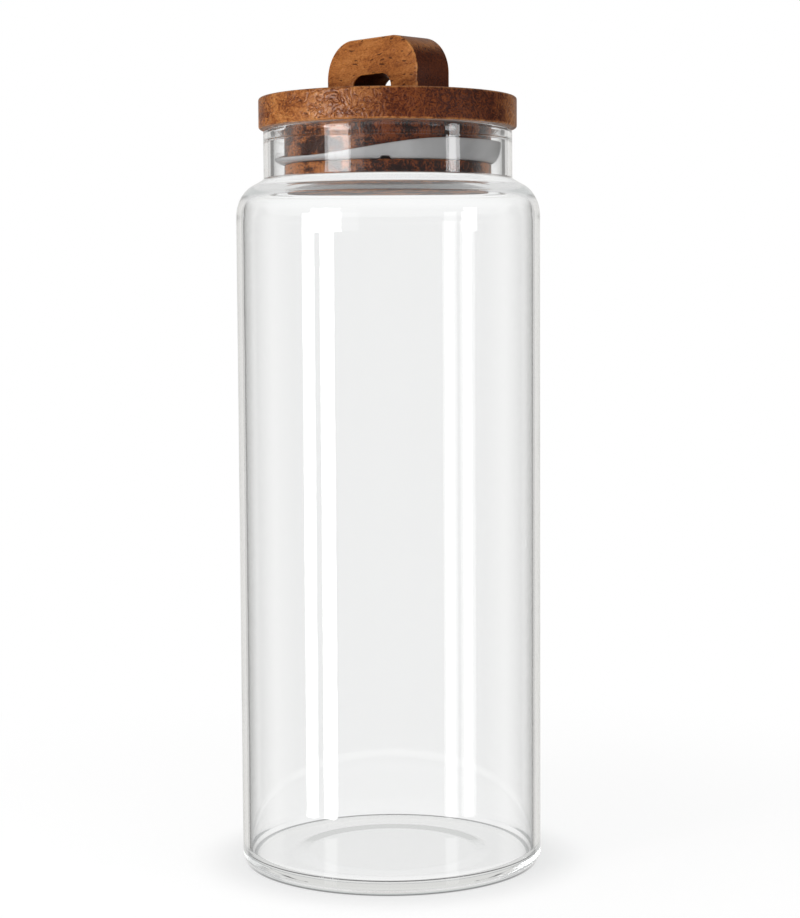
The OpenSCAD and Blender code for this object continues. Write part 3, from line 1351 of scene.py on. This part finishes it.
@dataclass(frozen=True)
class LidSeal:
    """The silicone seal: a root in the plug's groove and a thin lip that sweeps out to the glass."""

    plug_r: float
    reach: float
    low: float
    root_in: float = 2.85 * MM
    root_h: float = 1.6 * MM
    lip_t: float = 0.9 * MM
    tip_t: float = 0.55 * MM
    high_lip: float = 6.6 * MM
    low_lip: float = 1.5 * MM
    fold_direction: float = 262.0
    fold_half: float = 12.0
    fold_rise: float = 76.0
    notch_direction: float = 316.0
    notch_w: float = 3.8 * MM
    notch_h: float = 0.8 * MM
    notch_side: float = 0.22
    steps: int = 14
    tip_steps: int = 6
    sharp: float = 50.0
    # Angles between the sections, round the ring and across the notch
    coarse: float = 1.25
    fine: float = 0.25

    @property
    def notch_half(self) -> float:
        """Half the angle that the vent notch takes."""
        return math.degrees(self.notch_w / 2 / self.plug_r)

    def lip_height(self, direction: float) -> float:
        """Height of the lip's tip over the root: low where the lip has folded down."""
        away = turn_between(direction, self.fold_direction) - self.fold_half
        return self.low_lip + (self.high_lip - self.low_lip) * ease(away / self.fold_rise)

    def notch_rise(self, direction: float) -> float:
        """How far the lower edge is cut up, for the vent notch."""
        inside = self.notch_half - turn_between(direction, self.notch_direction)
        return self.notch_h * min(1.0, max(0.0, inside / (2 * self.notch_half * self.notch_side)))

    def directions(self) -> list[float]:
        """Gives the directions of the sections, closer together across the notch.

        Returns:
            The directions, once round.
        """
        half = self.notch_half
        across = [-half + self.fine * i for i in range(int(2 * half / self.fine) + 1)]
        count = int((360 - 2 * half) / self.coarse)
        rest = [half + (360 - 2 * half) * (i + 0.5) / count for i in range(count)]
        return [self.notch_direction + a for a in across + rest]

    def section(self, direction: float) -> list[Point]:
        """Gives the seal's section.

        Args:
            direction: Where round the lid it is.

        Returns:
            The points, once round.
        """
        under = self.low + self.notch_rise(direction)
        tip = self.low + self.lip_height(direction)
        root_r = self.plug_r - self.root_in
        top = self.low + self.root_h
        soft = self.tip_t / 2
        end_r = self.plug_r + self.reach
        outer = self._side(end_r, self.low, tip - soft, under)
        inner = self._side(end_r - self.tip_t, self.low + self.lip_t, tip - soft, under + self.lip_t / 2)
        crown = arc((end_r - soft, tip - soft), soft, 0, 180, self.tip_steps)[1:-1]
        return [(root_r, under)] + outer + crown + list(reversed(inner)) + [(self.plug_r, top), (root_r, top)]

    def _side(self, end_r: float, start_z: float, end_z: float, least_z: float) -> list[Point]:
        """Gives one side of the lip, which leaves the plug level and ends upright.

        Args:
            end_r: Radius where it ends.
            start_z: Height where it starts.
            end_z: Height where it ends.
            least_z: The lowest that it goes.

        Returns:
            The points from the plug outwards.
        """
        points = []
        for i in range(self.steps + 1):
            turn = math.pi / 2 * i / self.steps
            height = start_z + (end_z - start_z) * (1 - math.cos(turn))
            points.append((self.plug_r + (end_r - self.plug_r) * math.sin(turn), max(least_z, height)))
        return points

    def build(self, finish: SiliconeFinish) -> Piece:
        """Builds the ring of sections and puts it in place of its node.

        Args:
            finish: Its silicone.

        Returns:
            The seal.
        """
        rings = []
        for direction in self.directions():
            a = math.radians(direction)
            rings.append([(r * math.cos(a), r * math.sin(a), z) for r, z in self.section(direction)])
        count, points = len(rings), len(rings[0])
        faces = []
        for i in range(count):
            here, there = i * points, (i + 1) % count * points
            for j in range(points):
                after = (j + 1) % points
                faces.append((here + j, here + after, there + after, there + j))
        mesh = bpy.data.meshes.new("seal_draft")
        mesh.from_pydata([p for ring in rings for p in ring], [], faces)
        mesh.materials.append(finish.material())
        piece = plain_mesh("lid_lip_seal", add_object("seal_draft", mesh), self.sharp)
        return settle(piece, Body.SEAL, "lid_seal")


DISC_WOOD = WoodFinish(
    name="disc_wood",
    slot="disc_wood",
    dark=paint(108, 51, 22),
    middle=paint(173, 103, 52),
    light=paint(213, 142, 80),
    # Laid so that the darker end grain, painted shade as well, falls on the rim's side away from the key
    # light
    fibre=(0.963, -0.270, 0.0),
    curl=(0.80, -0.30, 0.52),
    blotch=0.55,
    wave=0.8,
    squiggle=1.0,
)
PLUG_WOOD = WoodFinish(
    name="plug_wood",
    slot="plug_wood",
    dark=paint(66, 30, 14),
    middle=paint(148, 82, 40),
    light=paint(204, 126, 66),
    fibre=(0.90, -0.43, 0.0),
    curl=(0.5, 0.6, 0.6),
    shift=(0.3, 0.1, 0.2),
    blotch=2.2,
    streak=1.8,
    grit=1.6,
    squiggle=0.8,
    fleck=0.9,
    end_grain_and_shade=(0.46, 0.29, 0.15),
)
HANDLE_WOOD = WoodFinish(
    name="handle_wood",
    slot="handle_wood",
    dark=paint(136, 75, 34),
    middle=paint(188, 114, 56),
    light=paint(216, 144, 78),
    fibre=(1.0, 0.0, 0.06),
    curl=(0.7, 0.2, 0.7),
    shift=(0.7, 0.5, 0.1),
    blotch=0.4,
    grit=1.1,
    wave=0.3,
    squiggle=0.45,
    fleck=0.85,
    # High, so that the paler edges also paint the highlight along the handle's edges
    wear_and_highlight=0.95,
    # Very dark: painted shade on the handle's side faces as well as end grain
    end_grain_and_shade=(0.28, 0.145, 0.05),
    # Near black: painted shade inside the slot
    recess_shade_tint=(0.11, 0.06, 0.04),
)


@dataclass(frozen=True)
class Lid:
    """The whole lid: disc, plug, handle, screws and seal, all sized from their nodes' boxes."""

    lathe: Lathe
    lip_clearance: float = 0.15 * MM

    def build(self, glass: GlassJar) -> None:
        """Builds the lid's pieces.

        Args:
            glass: The jar whose neck the seal fits.
        """
        low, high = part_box("handle_screws")
        head_r = high.y
        screws = ScrewPlan(self.lathe, high.x - head_r, low.z, high.z, head_r)
        low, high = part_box("lid_disc")
        LidDisc(self.lathe, high.y, low.z, high.z).build(DISC_WOOD, screws)
        low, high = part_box("lid_plug")
        plug = LidPlug(self.lathe, high.y, low.z, high.z)
        plug.build(PLUG_WOOD)
        low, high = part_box("lid_handle")
        LidHandle(high.x - low.x, high.y - low.y, low.z, high.z).build(HANDLE_WOOD, screws)
        reach = glass.bead_r - self.lip_clearance - plug.radius
        LidSeal(plug.radius, reach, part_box("lid_seal")[0].z).build(SiliconeFinish())
        self._screws(SteelFinish())

    def _screws(self, finish: SteelFinish) -> None:
        """Dresses the screws, which keep the mesh of their node.

        Args:
            finish: Their steel.
        """
        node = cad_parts["handle_screws"]
        node.data.materials.clear()
        node.data.materials.append(finish.material())
        LOG.info("handle_screws keeps its own mesh: %d faces", len(node.data.polygons))


# The studio


@dataclass(frozen=True)
class View:
    """The camera of the photograph, from the fit to the jar's edges."""

    azimuth: float = 46.95
    distance: float = 693.63 * MM
    side: float = 3.44 * MM
    height: float = 186.15 * MM
    pitch: float = 4.291454
    roll: float = -0.320856
    focal_px: float = 2090.67
    frame_px: float = 918.0
    sensor: float = 36.0
    nearest: float = 50.0 * MM

    @property
    def towards(self) -> Vector:
        """Level direction from the jar to the camera."""
        a = math.radians(self.azimuth)
        return Vector((math.sin(a), -math.cos(a), 0.0))

    @property
    def right(self) -> Vector:
        """Level direction to the camera's right."""
        a = math.radians(self.azimuth)
        return Vector((math.cos(a), math.sin(a), 0.0))

    def build(self) -> Piece:
        """Makes the camera and gives it to the scene.

        Returns:
            The camera.
        """
        data = bpy.data.cameras.new("camera")
        data.sensor_width = self.sensor
        data.lens = self.focal_px * self.sensor / self.frame_px
        data.clip_start = self.nearest
        camera = add_object("camera", data)
        turn = Matrix.Rotation(math.radians(self.azimuth), 4, "Z")
        tilt = Matrix.Rotation(math.radians(90.0 - self.pitch), 4, "X")
        roll = Matrix.Rotation(math.radians(self.roll), 4, "Z")
        place = self.towards * self.distance + self.right * self.side + Vector(UP) * self.height
        camera.matrix_world = Matrix.Translation(place) @ turn @ tilt @ roll
        bpy.context.scene.camera = camera
        return camera


@dataclass(frozen=True)
class Softbox:
    """A tall soft light, placed round the jar by its angle from the camera's direction."""

    name: str
    azimuth: float
    spread: float
    radiance: float
    low: float
    high: float
    distance: float = 0.9
    far_depth: float = 2.5

    def build(self, view: View) -> Piece:
        """Makes the light, facing the jar's axis; the far wall of the glass doesn't mirror it.

        Args:
            view: The camera, from whose direction the azimuth counts.

        Returns:
            The light.
        """
        a = math.radians(self.azimuth)
        out = view.towards * math.cos(a) + view.right * math.sin(a)
        data = bpy.data.lights.new(self.name, "AREA")
        data.shape = "RECTANGLE"
        data.size = 2 * self.distance * math.tan(math.radians(self.spread / 2))
        data.size_y = self.high - self.low
        data.energy = self.radiance * math.pi * data.size * data.size_y
        data.use_nodes = True
        tree = NodeTree(data.node_tree, "ShaderNodeOutputLight")
        near = tree.value(tree.node("ShaderNodeLightPath"), "Transmission Depth") < self.far_depth
        tree.show(tree.glow(near))
        light = add_object(self.name, data)
        up = Vector(UP)
        axes = Matrix((up.cross(out), up, out)).transposed().to_4x4()
        place = out * self.distance + up * (self.low + self.high) / 2
        light.matrix_world = Matrix.Translation(place) @ axes
        light.visible_camera = False
        return light


@dataclass(frozen=True)
class Studio:
    """White backdrop and floor, darker room round the camera, and tall softboxes."""

    lathe: Lathe
    view: View
    # Colours of the room for what the pieces reflect, and where the ceiling and the table begin and end
    backdrop: Colour = (0.80, 0.792, 0.775)
    ceiling: Colour = (0.72, 0.72, 0.72)
    table: Colour = (0.78, 0.78, 0.77)
    ceiling_edge: Pair = (0.08, 0.30)
    table_edge: Pair = (-0.29, -0.42)
    # Brightness of the room, by the angle from the middle of the backdrop as a share of a half turn
    room: tuple[Pair, ...] = (
        (0.0, 1.0),
        (0.183, 1.0),
        (0.194, 0.25),
        (0.27, 0.25),
        (0.36, 0.7),
        (0.46, 0.7),
        (0.52, 0.14),
        (1.0, 0.14),
    )
    # Keeps a direction's level share above zero straight up and down
    least_level: float = 1e-5
    # How much of the room lights a matt surface, and a satin one from behind the jar and from beside it
    soft_light: float = 0.45
    dull_light: Pair = (0.45, 0.12)
    beside_edge: Pair = (0.19, 0.26)
    # The floor lies just under the jar and glows near it, less so round the jar's foot, where a soft shadow
    # is painted into the glow
    floor_size: float = 6.0
    floor_z: float = -0.05 * MM
    floor_colour: Colour = (0.90, 0.90, 0.90)
    floor_glow: float = 0.62
    shadow_reach: Pair = (0.10, 0.30)
    soft_shadow: Pair = (48 * MM, 70 * MM)
    shadow_depth: float = 0.13
    # The dark line under the jar's rounded edge, a painted shadow on a glowing ring: its radii, heights and
    # shades from inside to outside
    contact: Pair = (46.5 * MM, 49.1 * MM)
    contact_z: Pair = (-0.045 * MM, -0.035 * MM)
    contact_shades: tuple[Pair, ...] = ((0.0, 0.10), (0.6, 0.25), (1.0, 0.78))
    contact_segments: int = 180
    # Each light's name, azimuth, spread, brightness, and lowest and highest point
    softboxes: tuple[Softbox, ...] = (
        Softbox("left_upper_softbox", -46.2, 23.0, 6.0, 0.237, 0.36),
        Softbox("left_dim_softbox", -27.7, 13.0, 0.45, 0.237, 0.36),
        Softbox("left_outer_softbox", -61.1, 8.2, 8.0, -0.19, 0.25),
        Softbox("left_inner_softbox", -45.6, 9.4, 20.0, -0.19, 0.25),
        Softbox("left_table_glow", -46.0, 10.0, 0.9, -0.30, -0.205),
        Softbox("right_upper_softbox", 62.0, 11.0, 6.0, 0.237, 0.36),
        Softbox("right_inner_softbox", 45.7, 9.8, 2.2, -0.19, 0.25),
        Softbox("right_outer_softbox", 60.4, 10.5, 2.2, -0.19, 0.25),
        Softbox("right_table_glow", 45.7, 9.8, 0.9, -0.30, -0.205),
    )

    def build(self) -> None:
        """Builds the world, floor and lights."""
        self._world()
        self._floor()
        self._contact()
        for softbox in self.softboxes:
            softbox.build(self.view)

    def _world(self) -> None:
        """Builds the room: white straight behind the jar, and otherwise as bright as the ramp says."""
        world = bpy.data.worlds.new("studio")
        bpy.context.scene.world = world
        world.use_nodes = True
        tree = NodeTree(world.node_tree, "ShaderNodeOutputWorld")
        x, y, z = tree.axes(tree.node("ShaderNodeTexCoord").outputs["Generated"])
        level = (x * x + y * y).root().larger(self.least_level)
        back = -self.view.towards
        off_middle = ((x * back.x + y * back.y) / level).arc_cosine() / math.pi
        room = tree.ramp(off_middle, [(place, scaled(self.backdrop, light)) for place, light in self.room])
        room = tree.tint(Blend.MIX, tree.step(z, *self.ceiling_edge), room, self.ceiling)
        room = tree.tint(Blend.MIX, tree.step(z, *self.table_edge), room, self.table)
        path = tree.node("ShaderNodeLightPath")
        blurred = tree.value(path, Ray.GLOSSY.value) * (1 - tree.value(path, Ray.SHARP.value))
        behind, beside = self.dull_light
        dull = behind + tree.step(off_middle, *self.beside_edge) * (beside - behind)
        dimmed = tree.value(path, Ray.DIFFUSE.value) * (1 - self.soft_light) + blurred * (1 - dull)
        room = tree.tint(Blend.MIX, dimmed, room, BLACK)
        straight = tree.value(path, Ray.TRANSMISSION.value) * (tree.value(path, "Glossy Depth") < 0.5)
        seen = tree.tint(Blend.MIX, tree.value(path, Ray.CAMERA.value).larger(straight), room, WHITE)
        tree.show(tree.node("ShaderNodeBackground", None, {"Color": seen, "Strength": 1.0}))

    def _floor(self) -> None:
        """Lays a white floor that keeps the jar's real shadow, with a soft shadow painted into its glow round
        the foot.
        """
        half = self.floor_size / 2
        corners = [(-half, -half, 0.0), (half, -half, 0.0), (half, half, 0.0), (-half, half, 0.0)]
        mesh = bpy.data.meshes.new("floor")
        mesh.from_pydata(corners, [], [(0, 1, 2, 3)])
        material, tree = new_material("white_floor")
        camera = tree.value(tree.node("ShaderNodeLightPath"), Ray.CAMERA.value)
        away = tree.length(tree.place())
        # Painted shadow: the glow is lowered near the jar's axis, by distance alone
        painted_floor_shadow = (1 - tree.step(away, *self.soft_shadow)) * self.shadow_depth
        cloth = tree.node("ShaderNodeBsdfDiffuse", None, {"Color": self.floor_colour})
        glow = tree.glow(camera * (self.floor_glow - painted_floor_shadow))
        near = tree.node("ShaderNodeAddShader", None, {0: cloth.outputs["BSDF"], 1: glow.outputs["Emission"]})
        far = camera * tree.step(away, *self.shadow_reach)
        both = {0: far, 1: near.outputs["Shader"], 2: tree.glow(1.0).outputs["Emission"]}
        tree.show(tree.node("ShaderNodeMixShader", None, both))
        mesh.materials.append(material)
        floor = add_object("floor", mesh)
        floor.location.z = self.floor_z
        floor.visible_glossy = False
        floor.visible_transmission = False

    def _contact(self) -> None:
        """Lays the dark line on the floor, a ring painted as shadow, where the jar's rounded edge shuts out
        the light.
        """
        inner, outer = self.contact
        low, high = self.contact_z
        section = [(inner, low), (outer, low), (outer, high), (inner, high), (inner, low)]
        material, tree = new_material("contact_shadow")
        across = tree.step(tree.length(tree.place()), inner, outer)
        stops = [(place, scaled(WHITE, shade)) for place, shade in self.contact_shades]
        tree.show(tree.glow(1.0, tree.ramp(across, stops)))
        ring = self.lathe.turn("contact_shadow", section, self.contact_segments, material)
        ring.visible_diffuse = False
        ring.visible_shadow = False


# Everything together


def main() -> None:
    """Builds the jar, its lid and the studio."""
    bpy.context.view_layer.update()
    logging.basicConfig(level=logging.INFO, format="%(name)s: %(message)s")
    bpy.context.scene.view_settings.view_transform = "Standard"
    view = View()
    view.build()
    lathe = Lathe()
    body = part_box("glass_jar")[1]
    disc_overhang = 1.5 * MM
    glass = GlassJar(lathe, body.y, body.z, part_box("lid_disc")[1].y - disc_overhang)
    glass.build(GlassFinish())
    Lid(lathe).build(glass)
    Studio(lathe, view).build()


if __name__ == "__main__":
    main()
